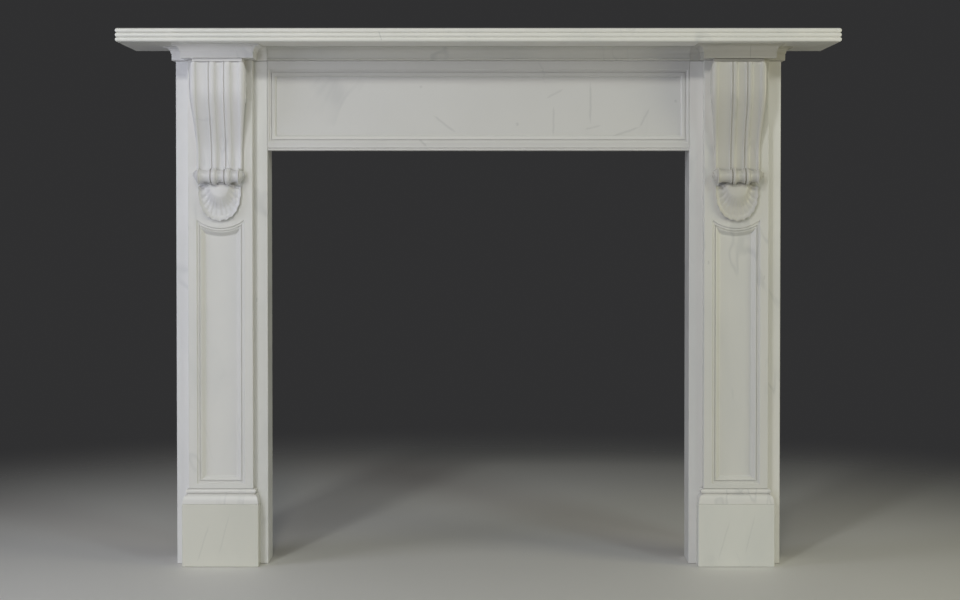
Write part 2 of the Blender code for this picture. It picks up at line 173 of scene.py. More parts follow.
add_lamp("key_left", (-1.80, -4.20, 3.40), 0.4, 35.0, (0.97, 1.0, 0.93))
add_lamp("key_middle", (-0.20, -4.20, 3.40), 0.4, 22.5, (1.0, 0.90, 0.80))
add_lamp("high_right", (2.70, -3.30, 3.00), 0.8, 19.0, (0.86, 1.0, 0.96))
add_lamp("high_front", (-0.20, -2.60, 3.60), 0.8, 5.0, (1.0, 0.95, 0.70))
add_lamp("cool_left", (-2.40, -1.00, 1.20), 1.0, 13.0, (0.86, 0.88, 1.0))
add_lamp("near_left", (-1.30, -2.60, 1.00), 1.0, 12.0, (0.92, 0.93, 1.0))
add_lamp("warm_right", (2.60, -1.10, 1.00), 1.0, 15.5, (1.0, 0.95, 0.68))

# %% [markdown]
# Marble, from helpers that every block shares
#
# White marble is not one white. It has broad soft clouds of a colder grey, hair-thin
# veins that wander and break off, and a few stronger veins that each block got from its
# own place in the quarry. Its polish is worn unevenly, and the quirks of the mouldings
# get dust with painted shade. Each of these is a node group with its own inputs, so that
# one block can be calm and its neighbour lively. A picture of marble would do the colour,
# but it would stretch over the carving: three-dimensional noise runs right through the stone.

# %% Node group helpers


def new_group(name, inputs, outputs):
    """An empty node group with named sockets: (name, type, default value)."""
    group = bpy.data.node_groups.new(name, "ShaderNodeTree")
    for label, kind, value in inputs:
        socket = group.interface.new_socket(label, in_out="INPUT", socket_type=kind)
        socket.default_value = value
    for label, kind in outputs:
        group.interface.new_socket(label, in_out="OUTPUT", socket_type=kind)
    entry = group.nodes.new("NodeGroupInput")
    leave = group.nodes.new("NodeGroupOutput")
    return group, entry, leave


def put(tree, value, socket):
    """Feed one input: link it if the value is a socket, and otherwise set it."""
    if isinstance(value, bpy.types.NodeSocket):
        tree.links.new(value, socket)
    else:
        socket.default_value = value


def math_node(tree, operation, *values):
    """One Math node."""
    node = tree.nodes.new("ShaderNodeMath")
    node.operation = operation
    for slot, value in enumerate(values):
        put(tree, value, node.inputs[slot])
    return node.outputs["Value"]


def mapping_node(tree, vector, **values):
    """The coordinates, moved, turned or stretched."""
    node = tree.nodes.new("ShaderNodeMapping")
    tree.links.new(vector, node.inputs["Vector"])
    for label, value in values.items():
        node.inputs[label].default_value = value
    return node.outputs["Vector"]


def noise_node(tree, vector, scale, detail, roughness=0.5, distortion=0.0):
    """A 3-D noise texture."""
    node = tree.nodes.new("ShaderNodeTexNoise")
    for label, value in (("Vector", vector), ("Scale", scale), ("Detail", detail),
                         ("Roughness", roughness), ("Distortion", distortion)):
        put(tree, value, node.inputs[label])
    return node


def ramp_between(tree, value, low, high):
    """A smooth mask that is 0 at low and 1 at high."""
    node = tree.nodes.new("ShaderNodeMapRange")
    node.interpolation_type = "SMOOTHSTEP"
    for label, given in (("Value", value), ("From Min", low), ("From Max", high)):
        put(tree, given, node.inputs[label])
    return node.outputs["Result"]


# %% Clouding and hair veins
VECTOR = "NodeSocketVector"
FLOAT = "NodeSocketFloat"


def build_cloud_group():
    """Broad soft clouds, drawn out a little along the bedding of the stone."""
    group, entry, leave = new_group(
        "stone clouds",
        [("Vector", VECTOR, (0.0, 0.0, 0.0)), ("Scale", FLOAT, 4.0)],
        [("Mask", FLOAT)],
    )
    bed = mapping_node(group, entry.outputs["Vector"], Rotation=(0.2, 0.5, 0.3), Scale=(1.0, 1.0, 0.45))
    clouds = noise_node(group, bed, entry.outputs["Scale"], 5.0, 0.55, 0.6)
    mask = ramp_between(group, clouds.outputs["Fac"], 0.42, 0.74)
    group.links.new(mask, leave.inputs["Mask"])
    return group


def build_hair_group():
    """Hair-thin veins: the place where a noise crosses its middle value."""
    group, entry, leave = new_group(
        "hair veins",
        [("Vector", VECTOR, (0.0, 0.0, 0.0)), ("Scale", FLOAT, 2.5), ("Width", FLOAT, 0.010)],
        [("Mask", FLOAT)],
    )
    bed = mapping_node(group, entry.outputs["Vector"], Rotation=(0.3, 0.9, 0.1), Scale=(1.0, 1.0, 0.35))
    course = noise_node(group, bed, entry.outputs["Scale"], 4.0, 0.6, 0.8)
    off_middle = math_node(group, "SUBTRACT", course.outputs["Fac"], 0.5)
    away = math_node(group, "ABSOLUTE", off_middle)
    line = math_node(group, "SUBTRACT", 1.0, ramp_between(group, away, 0.0, entry.outputs["Width"]))
    breaks = noise_node(group, entry.outputs["Vector"], 6.0, 2.0)
    kept = ramp_between(group, breaks.outputs["Fac"], 0.50, 0.66)
    group.links.new(math_node(group, "MULTIPLY", line, kept), leave.inputs["Mask"])
    return group


stone_clouds = build_cloud_group()
hair_veins = build_hair_group()
print("groups", stone_clouds.name, hair_veins.name)

# %% [markdown]
# One vein at a known place
#
# The veins that show in a finished block are part of its likeness, so they are placed,
# not left to chance. A vein is a thin sheet in the stone. Seen on the face it is a line,
# so the group measures the distance to a line between two points in the plane of the
# face, after a noise has pushed the coordinates about. It fades at both of its ends.

# %% Placed vein group


def build_vein_group():
    """A wavering vein from Start to End, both given on the face as X and Z."""
    group, entry, leave = new_group(
        "placed vein",
        [("Vector", VECTOR, (0.0, 0.0, 0.0)), ("Start", VECTOR, (0.0, 0.0, 0.0)),
         ("End", VECTOR, (0.0, 0.0, 0.1)), ("Width", FLOAT, 0.002), ("Waver", FLOAT, 0.006)],
        [("Mask", FLOAT)],
    )

    def vector_math(operation, first, second):
        node = group.nodes.new("ShaderNodeVectorMath")
        node.operation = operation
        put(group, first, node.inputs[0])
        put(group, second, node.inputs["Scale" if operation == "SCALE" else 1])
        return node.outputs["Value" if operation == "DOT_PRODUCT" else "Vector"]

    push = noise_node(group, entry.outputs["Vector"], 26.0, 3.0, 0.6)
    centred = vector_math("SUBTRACT", push.outputs["Color"], (0.5, 0.5, 0.5))
    sway = vector_math("SCALE", centred, entry.outputs["Waver"])
    moved = vector_math("ADD", entry.outputs["Vector"], sway)
    flat = vector_math("MULTIPLY", moved, (1.0, 0.0, 1.0))
    from_start = vector_math("SUBTRACT", flat, entry.outputs["Start"])
    run = vector_math("SUBTRACT", entry.outputs["End"], entry.outputs["Start"])
    along = vector_math("DOT_PRODUCT", from_start, run)
    share = math_node(group, "DIVIDE", along, vector_math("DOT_PRODUCT", run, run))
    held = math_node(group, "MINIMUM", math_node(group, "MAXIMUM", share, 0.0), 1.0)
    gap = vector_math("SUBTRACT", from_start, vector_math("SCALE", run, held))
    distance = math_node(group, "SQRT", vector_math("DOT_PRODUCT", gap, gap))
    taper = math_node(group, "MULTIPLY", held, math_node(group, "SUBTRACT", 1.0, held))
    fuller = math_node(group, "ADD", math_node(group, "MULTIPLY", taper, 5.0), 0.3)
    bold = math_node(group, "MINIMUM", fuller, 1.0)
    width = math_node(group, "MULTIPLY", entry.outputs["Width"], bold)
    line = math_node(group, "SUBTRACT", 1.0, ramp_between(group, distance, 0.0, width))
    group.links.new(math_node(group, "MULTIPLY", line, bold), leave.inputs["Mask"])
    return group


placed_vein = build_vein_group()
print("group", placed_vein.name)

# %% [markdown]
# Polish, and dust with painted shade
#
# Old polish has dull and bright patches and fine hand scratches, so the roughness and a
# very low bump come from the same small group. Where the surface is shut in by its
# neighbours, a short ambient occlusion finds the quirks and leaves flat fields alone, and
# there the colour is made darker and browner: painted shade that also stands for dust.

# %% Polish group, and dust with painted shade group


def build_polish_group():
    """Uneven polish: a roughness and a height for the bump."""
    group, entry, leave = new_group(
        "worn polish",
        [("Vector", VECTOR, (0.0, 0.0, 0.0)), ("Smooth", FLOAT, 0.30), ("Dull", FLOAT, 0.46)],
        [("Roughness", FLOAT), ("Height", FLOAT)],
    )
    patches = noise_node(group, entry.outputs["Vector"], 9.0, 4.0, 0.6)
    grain = noise_node(group, entry.outputs["Vector"], 420.0, 2.0, 0.6)
    share = ramp_between(group, patches.outputs["Fac"], 0.35, 0.70)
    spread_out = math_node(group, "SUBTRACT", entry.outputs["Dull"], entry.outputs["Smooth"])
    rough = math_node(group, "ADD", entry.outputs["Smooth"], math_node(group, "MULTIPLY", share, spread_out))
    group.links.new(rough, leave.inputs["Roughness"])
    swell_part = math_node(group, "MULTIPLY", patches.outputs["Fac"], 0.7)
    grain_part = math_node(group, "MULTIPLY", grain.outputs["Fac"], 0.3)
    group.links.new(math_node(group, "ADD", swell_part, grain_part), leave.inputs["Height"])
    return group


def build_dust_and_shade_group():
    """A mask of painted shade and dust in narrow hollows, broken up so that it is not a drawn outline."""
    group, entry, leave = new_group(
        "hollow dust and shade",
        [("Vector", VECTOR, (0.0, 0.0, 0.0)), ("Reach", FLOAT, 0.006)],
        [("Mask", FLOAT)],
    )
    # The occlusion finds where shade falls; the mask paints it as shade and dust together.
    shut_in = group.nodes.new("ShaderNodeAmbientOcclusion")
    shut_in.samples = 6
    group.links.new(entry.outputs["Reach"], shut_in.inputs["Distance"])
    hollow = math_node(group, "SUBTRACT", 1.0, ramp_between(group, shut_in.outputs["AO"], 0.25, 0.85))
    patch = noise_node(group, entry.outputs["Vector"], 30.0, 3.0)
    broken = math_node(group, "ADD", 0.45, math_node(group, "MULTIPLY", patch.outputs["Fac"], 1.1))
    group.links.new(math_node(group, "MULTIPLY", hollow, broken), leave.inputs["Mask"])
    return group


worn_polish = build_polish_group()
hollow_dust_and_shade = build_dust_and_shade_group()
print("groups", worn_polish.name, hollow_dust_and_shade.name)

# %% [markdown]
# The marble of one block
#
# A block's material stacks the helpers: white, then clouds, then hair veins, then its own
# placed veins, then dust with painted shade in the hollows. An offset gives each block its
# own part of the quarry, and a tone multiplies its colour to make it a little lighter,
# darker, bluer or browner. On the caps the tone is painted light and shade, and on the bed
# moulding it is painted shade. The shader itself stays in the material, with the plain
# values of polished stone.

# %% Marble material
MARBLE_WHITE = (0.800, 0.797, 0.780, 1.0)
CLOUD_GREY = (0.690, 0.700, 0.700, 1.0)
HAIR_GREY = (0.520, 0.535, 0.545, 1.0)
VEIN_GREY = (0.400, 0.410, 0.415, 1.0)
# The colour and strength of the dust and painted shade in the hollows.
DUST_AND_SHADE_BROWN = (0.430, 0.400, 0.350, 1.0)
CLOUDING = 0.55
HAIR_STRENGTH = 0.35
DUST_AND_SHADE_STRENGTH = 0.15
POLISH_RELIEF = 0.0012


def mix_colours(tree, factor, under, over, blend="MIX"):
    """A colour over another, by a factor."""
    mix = tree.nodes.new("ShaderNodeMix")
    mix.data_type = "RGBA"
    mix.blend_type = blend
    for slot, value in ((0, factor), (6, under), (7, over)):
        put(tree, value, mix.inputs[slot])
    return mix.outputs[2]


def layer(tree, under, mask, strength, colour):
    """Lay a colour over another where a mask says so."""
    return mix_colours(tree, math_node(tree, "MULTIPLY", mask, strength), under, colour)


def use_group(tree, group, **values):
    """Place a node group; each named input takes a socket or a value."""
    node = tree.nodes.new("ShaderNodeGroup")
    node.node_tree = group
    for label, value in values.items():
        put(tree, value, node.inputs[label])
    return node


def make_marble(name, offset, tone=(1.0, 1.0, 1.0), clouding=CLOUDING, veins=()):
    """Polished white marble; veins is a list of (start, end, width, strength)."""
    material = bpy.data.materials.new(name)
    material.use_nodes = True
    tree = material.node_tree
    shader = tree.nodes["Principled BSDF"]
    place = tree.nodes.new("ShaderNodeTexCoord").outputs["Object"]
    stone = mapping_node(tree, place, Location=offset)

    clouds = use_group(tree, stone_clouds, Vector=stone, Scale=4.0)
    colour = layer(tree, MARBLE_WHITE, clouds.outputs["Mask"], clouding, CLOUD_GREY)
    hairs = use_group(tree, hair_veins, Vector=stone, Scale=2.5, Width=0.012)
    colour = layer(tree, colour, hairs.outputs["Mask"], HAIR_STRENGTH, HAIR_GREY)
    for start, end, width, strength in veins:
        vein = use_group(tree, placed_vein, Vector=place, Width=width, Start=(start[0], 0.0, start[1]),
                         End=(end[0], 0.0, end[1]))
        colour = layer(tree, colour, vein.outputs["Mask"], strength, VEIN_GREY)
    # Dust and painted shade: the hollows that the occlusion finds are made darker and browner.
    dust_and_shade = use_group(tree, hollow_dust_and_shade, Vector=stone)
    colour = layer(tree, colour, dust_and_shade.outputs["Mask"], DUST_AND_SHADE_STRENGTH, DUST_AND_SHADE_BROWN)
    colour = mix_colours(tree, 1.0, colour, (*tone, 1.0), "MULTIPLY")
    tree.links.new(colour, shader.inputs["Base Color"])

    polish = use_group(tree, worn_polish, Vector=stone)
    tree.links.new(polish.outputs["Roughness"], shader.inputs["Roughness"])
    bump = tree.nodes.new("ShaderNodeBump")
    bump.inputs["Strength"].default_value = 0.25
    bump.inputs["Distance"].default_value = POLISH_RELIEF
    tree.links.new(polish.outputs["Height"], bump.inputs["Height"])
    tree.links.new(bump.outputs["Normal"], shader.inputs["Normal"])
    return material


# %% [markdown]
# Cutting a block
#
# Almost every block is a run of sections: a level slice of the shelf, a slice across a
# moulding, a slice through a corbel. Lofting quads through a stack of slices gives a
# closed mesh with clean edges, and the slices can follow any curve that a function
# describes. Face-weighted normals keep the flat faces flat beside the rounded arrises.

# %% Loft and finish


def spread(low, high, steps):
    """Evenly spaced values from low to high, both ends included."""
    return [low + (high - low) * i / steps for i in range(steps + 1)]


def ease(share):
    """A smooth step from 0 to 1, level before and after."""
    share = min(max(share, 0.0), 1.0)
    return share * share * (3.0 - 2.0 * share)


def loft(rings):
    """A closed solid through rings of points, with a flat cap at each end."""
    shape = bmesh.new()
    levels = [[shape.verts.new(point) for point in ring] for ring in rings]
    count = len(levels[0])
    for low, high in zip(levels, levels[1:]):
        for i in range(count):
            j = (i + 1) % count
            shape.faces.new((low[i], low[j], high[j], high[i]))
    shape.faces.new(levels[0])
    shape.faces.new(levels[-1])
    return shape


def to_object(name, shape, sharp_angle=38.0):
    """Turn a bmesh into an object with smooth rounds and crisp arrises."""
    bmesh.ops.recalc_face_normals(shape, faces=shape.faces)
    mesh = bpy.data.meshes.new(name)
    shape.to_mesh(mesh)
    shape.free()
    mesh.shade_smooth()
    mesh.set_sharp_from_angle(angle=math.radians(sharp_angle))
    thing = bpy.data.objects.new(name, mesh)
    bpy.context.scene.collection.objects.link(thing)
    return thing


def settle(piece):
    """Make a piece's modifier part of its mesh."""
    bpy.context.view_layer.update()
    graph = bpy.context.evaluated_depsgraph_get()
    result = bpy.data.meshes.new_from_object(piece.evaluated_get(graph))
    piece.modifiers.clear()
    piece.data = result


def combine(piece, tool, operation):
    """Join a tool to a piece, or cut it away, and keep only the result."""
    change = piece.modifiers.new(tool.name, "BOOLEAN")
    change.operation = operation
    change.object = tool
    change.solver = "EXACT"
    settle(piece)
    bpy.data.objects.remove(tool, do_unlink=True)


def weigh_normals(piece):
    """Face-weighted normals, so that a flat face stays flat beside a round one."""
    weigh = piece.modifiers.new("weighted", "WEIGHTED_NORMAL")
    weigh.keep_sharp = True
    settle(piece)


def set_piece(piece, node, stone):
    """Give a finished block its marble and put it in its node's place."""
    piece.data.materials.clear()
    piece.data.materials.append(stone)
    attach(piece, "root")
    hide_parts(node)
    print(piece.name, len(piece.data.polygons), "faces")


# %% [markdown]
# The shelf
#
# The shelf is one long slab. Three reeds run along its front and both ends, and at each
# corner they turn on a mitre. Level slices are the natural way to cut it: each slice is
# a rectangle whose edge steps in and out with the reeds, with its corner just eased.

# %% Shelf
REED_COUNT = 3
REED_RELIEF = 0.004
SHELF_CORNER = 0.0015
ARC_STEPS = 14


def shelf_slice(reach, front, height):
    """One level slice of the shelf, with eased front corners."""
    points = [centre_point(-reach, 0.0, height)]
    for side in (-1, 1):
        for turn in spread(0.0, math.pi / 2, 4)[::side * -1]:
            out = SHELF_CORNER * (1.0 - math.cos(turn))
            back = SHELF_CORNER * (1.0 - math.sin(turn))
            points.append(centre_point(side * (reach - out), front - back, height))
    points.append(centre_point(reach, 0.0, height))
    return points


def cut_shelf():
    half = shelf_high.x
    depth = WALL - shelf_low.y
    pitch = (shelf_high.z - shelf_low.z) / REED_COUNT
    rings = []
    for reed in range(REED_COUNT):
        for turn in spread(0.0, math.pi, ARC_STEPS)[(reed > 0):]:
            inset = REED_RELIEF * (1.0 - math.sin(turn))
            height = shelf_low.z + pitch * (reed + (1.0 - math.cos(turn)) / 2)
            rings.append(shelf_slice(half - inset, depth - inset, height))
    return to_object("shelf_slab", loft(rings))


shelf = cut_shelf()
weigh_normals(shelf)
SHELF_VEINS = [((-0.219, 1.206), (-0.213, 1.184), 0.0022, 0.35)]
stone = make_marble("shelf marble", (3.1, 0.4, 7.7), (1.15, 1.15, 1.13), veins=SHELF_VEINS)
set_piece(shelf, "shelf", stone)

# %% [markdown]
# The bed moulding
#
# Under the shelf runs a cove with a thin lip, standing on a flat fascia. Over the frieze
# a small bead finishes its foot. A plasterer would run it with a template, and the code
# does the same: one profile, lofted from end to end, and round the corners of each cap.

# %% Bed moulding
BED_HEIGHT = 0.030
FASCIA_HEIGHT = 0.0155
FASCIA_PROJECTION = 0.008
COVE_PROJECTION = 0.024
COVE_STEP = 0.0015
COVE_LIP = 0.0015
BEAD_HEIGHT = 0.005
BEAD_RELIEF = 0.004
FRIEZE_THICKNESS = 0.030


def cove(foot, low):
    """The step, the cove's curve out to its lip, and the lip."""
    rise = BED_HEIGHT - COVE_LIP - low
    start = foot + COVE_STEP
    run = COVE_PROJECTION - start
    curve = [(foot, low - 0.0004), (foot + 0.0004, low), (start, low)]
    for turn in spread(0.0, math.pi / 2, ARC_STEPS)[1:]:
        curve.append((COVE_PROJECTION - run * math.cos(turn), low + rise * math.sin(turn)))
    curve.append((COVE_PROJECTION, BED_HEIGHT - 0.0002))
    curve.append((COVE_PROJECTION - 0.0002, BED_HEIGHT))
    return curve


def cut_bed_moulding():
    foot = FASCIA_PROJECTION - BEAD_RELIEF / 2
    profile = [(-FRIEZE_THICKNESS, BED_HEIGHT), (-FRIEZE_THICKNESS, 0.0)]
    for turn in spread(0.0, math.pi, ARC_STEPS):
        profile.append((foot + BEAD_RELIEF * math.sin(turn), BEAD_HEIGHT * (1.0 - math.cos(turn)) / 2))
    profile += cove(foot, FASCIA_HEIGHT)
    half = HALF_OPENING - JOINT
    rings = [[centre_point(across, JAMB_FACE + reach, SOFFIT + height) for reach, height in profile]
             for across in (-half, half)]
    return to_object("bed_moulding_run", loft(rings))


bed = cut_bed_moulding()
weigh_normals(bed)
# The bed moulding's tone makes it darker: painted shade for the shadow under the shelf.
set_piece(bed, "bed_moulding", make_marble("bed moulding marble", (0.7, 5.2, 1.9), (0.84, 0.84, 0.82)))

# %% [markdown]
# The caps
#
# Over each leg the same moulding breaks forward round the corbel, so that the shelf
# seems to rest on it. Its plan steps out and back, and each corner is a mitre. The
# profile is lofted upward: every level is the same stepped plan, moved out by the
# profile's reach at that height.

# %% Caps
CAP_PROJECTION = 0.042


def cap_plan(side, reach, height):
    """The cap's plan at one level: along the jamb, forward round the corbel, and back."""
    end = LEG_CENTRE - HALF_OPENING
    step = PILASTER_HALF + reach
    near = JAMB_FACE + reach
    far = PILASTER_FACE + CAP_PROJECTION + reach
    corners = [(-end, 0.0), (-end, near), (-step, near), (-step, far), (step, far), (step, near),
               (end + reach, near), (end + reach, 0.0)]
    return [leg_point(side, out, forward, height) for out, forward in corners]


def cut_cap(name, side):
    profile = [(FASCIA_PROJECTION - 0.0004, 0.0), (FASCIA_PROJECTION, 0.0004)]
    profile += cove(FASCIA_PROJECTION, FASCIA_HEIGHT)
    rings = [cap_plan(side, reach, SOFFIT + height) for reach, height in profile]
    return to_object("cap_" + name + "_block", loft(rings))


# Painted light and shade: the left cap is made lighter and bluer for cool light from the
# left, and the right cap darker and browner for the shelf's shadow over it.
CAP_PAINTED_LIGHT_AND_SHADE = {"left": (1.07, 1.07, 1.09), "right": (0.75, 0.74, 0.70)}
CAP_VEINS = {"left": [], "right": [((0.609, 1.184), (0.610, 1.152), 0.0016, 0.45)]}
for name, side in SIDES.items():
    cap = cut_cap(name, side)
    weigh_normals(cap)
    stone = make_marble("cap " + name + " marble", (2.0 * side, 8.1, 3.3), CAP_PAINTED_LIGHT_AND_SHADE[name],
                        veins=CAP_VEINS[name])
    set_piece(cap, "cap_" + name, stone)

# %% [markdown]
# A sunk panel's moulding
#
# Frieze and pilasters share one moulding: a small step at the arris, a quirk, and a broad
# ovolo that rolls down to the sunk field. On the pilasters it is softer: the quirk is
# shallow, and the ovolo is drawn out to an ogee that ends in the field without an edge.
# It is written once, as inset against depth, and each panel scales it to its own size.

# %% Panel moulding


def panel_profile(width, depth, quirk_depth, soft):
    """Inset and depth of the moulding: arris, step, fillet, quirk, and ovolo or soft ogee."""
    step = 0.25 * depth
    fillet = 0.28 * width
    quirk = 0.38 * width
    profile = [(-0.0006, -depth), (-0.0006, 0.0), (0.0, 0.0004), (0.08 * width, step * 0.92),
               (0.10 * width, step), (fillet - 0.0003, step), (fillet, step + 0.0003),
               (fillet + 0.25 * (quirk - fillet), 0.95 * quirk_depth * step),
               (fillet + 0.55 * (quirk - fillet), quirk_depth * step)]
    for share in spread(0.0, 1.0, ARC_STEPS):
        turn = share * math.pi / 2
        across = share if soft else math.sin(turn)
        fall = ease(share) if soft else 1.0 - math.cos(turn)
        profile.append((quirk + (width - quirk) * across, step + (depth - step) * fall))
    return profile


# %% [markdown]
# The frieze
#
# The frieze is the slab across the opening. Its long panel is sunk with the shared
# moulding, and a bead with a quirk behind it softens its lower edge. The slab is lofted
# from end to end, and then the panel is cut out of it as a mason would, with a tool that
# has the panel's shape. Each vein below is a start, an end, a width and a strength.

# %% Frieze
FRIEZE_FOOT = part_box("frieze")[0].z
FRIEZE_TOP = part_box("frieze")[1].z
FRIEZE_BEAD = 0.0045
FRIEZE_QUIRK = 0.002
FRIEZE_END_MARGIN = 0.004
FRIEZE_TOP_MARGIN = 0.0205
FRIEZE_FOOT_MARGIN = 0.0195
FRIEZE_PANEL_MOULD = 0.016
FRIEZE_PANEL_DEPTH = 0.009
FRIEZE_PANEL_QUIRK = 2.0


def cut_frieze():
    half = HALF_OPENING - JOINT
    groove = FRIEZE_FOOT + FRIEZE_BEAD
    section = [(JAMB_FACE - FRIEZE_THICKNESS, FRIEZE_FOOT)]
    for turn in spread(0.0, math.pi, ARC_STEPS):
        back = FRIEZE_QUIRK * (1.0 - math.sin(turn))
        section.append((JAMB_FACE - back, FRIEZE_FOOT + FRIEZE_BEAD * (1.0 - math.cos(turn)) / 2))
    section += [(JAMB_FACE - FRIEZE_QUIRK, groove + 0.0006), (JAMB_FACE - 0.0003, groove + FRIEZE_QUIRK),
                (JAMB_FACE, groove + FRIEZE_QUIRK + 0.0003), (JAMB_FACE, FRIEZE_TOP),
                (JAMB_FACE - FRIEZE_THICKNESS, FRIEZE_TOP)]
    rings = [[centre_point(across, forward, height) for forward, height in section]
             for across in (-half, half)]
    slab = to_object("frieze_slab", loft(rings))
    reach = HALF_OPENING - FRIEZE_END_MARGIN
    top = SOFFIT - FRIEZE_TOP_MARGIN
    low = FRIEZE_FOOT + FRIEZE_FOOT_MARGIN
    rings = []
    for inset, depth in panel_profile(FRIEZE_PANEL_MOULD, FRIEZE_PANEL_DEPTH, FRIEZE_PANEL_QUIRK, False):
        wide, foot, head = reach - inset, low + inset, top - inset
        rings.append([centre_point(across, JAMB_FACE - depth, height)
                      for across, height in ((-wide, foot), (wide, foot), (wide, head), (-wide, head))])
    combine(slab, to_object("frieze_tool", loft(rings)), "DIFFERENCE")
    return slab


FRIEZE_VEINS = [
    ((-0.103, 1.029), (-0.052, 0.990), 0.0043, 0.24),
    ((-0.135, 0.974), (-0.119, 0.958), 0.0040, 0.26),
    ((0.172, 1.050), (0.172, 0.981), 0.0040, 0.22),
    ((0.195, 1.089), (0.156, 1.068), 0.0040, 0.20),
    ((0.257, 1.105), (0.257, 1.009), 0.0043, 0.26),
    ((0.243, 0.997), (0.282, 1.006), 0.0036, 0.20),
    ((0.307, 0.981), (0.369, 1.002), 0.0043, 0.26),
    ((0.369, 1.002), (0.392, 1.045), 0.0040, 0.22),
    ((0.089, 1.012), (0.091, 1.004), 0.0054, 0.26),
    ((0.450, 1.064), (0.453, 1.058), 0.0054, 0.24),
    ((-0.132, 1.098), (-0.130, 1.092), 0.0054, 0.24),
]
frieze = cut_frieze()
weigh_normals(frieze)
stone = make_marble("frieze marble", (5.5, 2.2, 0.3), (0.89, 0.89, 0.905), clouding=0.3, veins=FRIEZE_VEINS)
set_piece(frieze, "frieze", stone)

# %% [markdown]
# The pilasters
#
# Each pilaster is a slab on the face of its jamb. Its panel is sunk with the shared
# moulding, and the head of the panel curves down round the shell, so the moulding there
# follows an arc struck from the middle of the shell.

# %% Pilasters
SHELL_DROP = 0.295
SHELL_CENTRE = SOFFIT - JOINT - SHELL_DROP
PANEL_SIDE_MARGIN = 0.0195
PANEL_FOOT_MARGIN = 0.0115
PANEL_MOULD = 0.020
PANEL_DEPTH = 0.012
PANEL_QUIRK = 1.75
PANEL_ARCH_RADIUS = 0.087
ARRIS = 0.0012


def arched_outline(side, inset, forward):
    """The panel's outline. Its head curves down, round the shell."""
    half = PILASTER_HALF - PANEL_SIDE_MARGIN - inset
    foot = pilaster_low.z - JOINT + PANEL_FOOT_MARGIN + inset
    radius = PANEL_ARCH_RADIUS + inset
    swing = math.asin(half / radius)
    outline = [(-half, foot), (half, foot)]
    for turn in spread(swing, -swing, 2 * ARC_STEPS):
        outline.append((radius * math.sin(turn), SHELL_CENTRE - radius * math.cos(turn)))
    return [leg_point(side, out, forward, height) for out, height in outline]


def cut_pilaster(name, side):
    corners = [(-PILASTER_HALF, JAMB_FACE + JOINT), (-PILASTER_HALF, PILASTER_FACE),
               (PILASTER_HALF, PILASTER_FACE), (PILASTER_HALF, JAMB_FACE + JOINT)]
    block = loft([[leg_point(side, out, forward, height) for out, forward in corners]
                  for height in (pilaster_low.z, pilaster_high.z)])
    bmesh.ops.bevel(block, geom=block.edges[:], offset=ARRIS, segments=3, profile=0.5, affect="EDGES")
    slab = to_object("pilaster_" + name + "_slab", block)
    rings = [arched_outline(side, inset, PILASTER_FACE - depth)
             for inset, depth in panel_profile(PANEL_MOULD, PANEL_DEPTH, PANEL_QUIRK, True)]
    combine(slab, to_object("panel_tool", loft(rings)), "DIFFERENCE")
    return slab


PILASTER_TONE = {"left": (0.98, 0.98, 0.98), "right": (0.94, 0.94, 0.93)}
PILASTER_VEINS = {
    "left": [],
    "right": [((0.524, 0.698), (0.5245, 0.688), 0.0030, 0.30),
              ((0.651, 0.664), (0.6505, 0.654), 0.0026, 0.28)],
}
for name, side in SIDES.items():
    pilaster = cut_pilaster(name, side)
    weigh_normals(pilaster)
    stone = make_marble("pilaster " + name + " marble", (1.3 * side, 3.6, 6.2), PILASTER_TONE[name],
                        veins=PILASTER_VEINS[name])
    set_piece(pilaster, "pilaster_" + name, stone)

# %% [markdown]
# The base mouldings
#
# Between plinth and pilaster sits a small moulding: a fillet, an ovolo, a quirk and a
# bead. It wraps three sides of the leg, so it is lofted upward like the caps.

# %% Base mouldings
base_low, base_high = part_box("base_moulding_right")


def base_profile():
    """Reach and height of the base moulding, from the plinth up."""
    tall = base_high.z - base_low.z
    fillet = 0.12 * tall
    ovolo_top = 0.62 * tall
    bead_foot = 0.69 * tall
    nose = 0.3 * PLINTH_LAP
    quirk = 0.15 * PLINTH_LAP
    edge = PLINTH_LAP - ARRIS
    profile = [(edge - 0.0003, 0.0), (edge, 0.0003), (edge, fillet - 0.0003), (edge - 0.0003, fillet)]
    for turn in spread(0.0, math.pi / 2, ARC_STEPS):
        rise = (ovolo_top - fillet) * math.sin(turn)
        profile.append((nose + (edge - 0.0004 - nose) * math.cos(turn), fillet + rise))
    profile.append((quirk, ovolo_top))
    for turn in spread(0.0, math.pi, ARC_STEPS):
        rise = (tall - bead_foot) * (1.0 - math.cos(turn)) / 2
        profile.append((quirk + nose * math.sin(turn), bead_foot + rise))
    return profile


def cut_base(name, side):
    rings = []
    for reach, height in base_profile():
        half = PILASTER_HALF + reach
        front = PILASTER_FACE + reach
        level = base_low.z + height
        rings.append([leg_point(side, -half, JAMB_FACE + JOINT, level), leg_point(side, -half, front, level),
                      leg_point(side, half, front, level), leg_point(side, half, JAMB_FACE + JOINT, level)])
    return to_object("base_moulding_" + name + "_run", loft(rings))


for name, side in SIDES.items():
    base = cut_base(name, side)
    weigh_normals(base)
    set_piece(base, "base_moulding_" + name, make_marble("base " + name + " marble", (4.4 * side, 1.2, 9.1)))

# %% [markdown]
# Jambs and plinths
#
# These are plain sawn and polished blocks, and their solids already have the right form
# down to the eased arrises. They stay as they are and only take their marble.

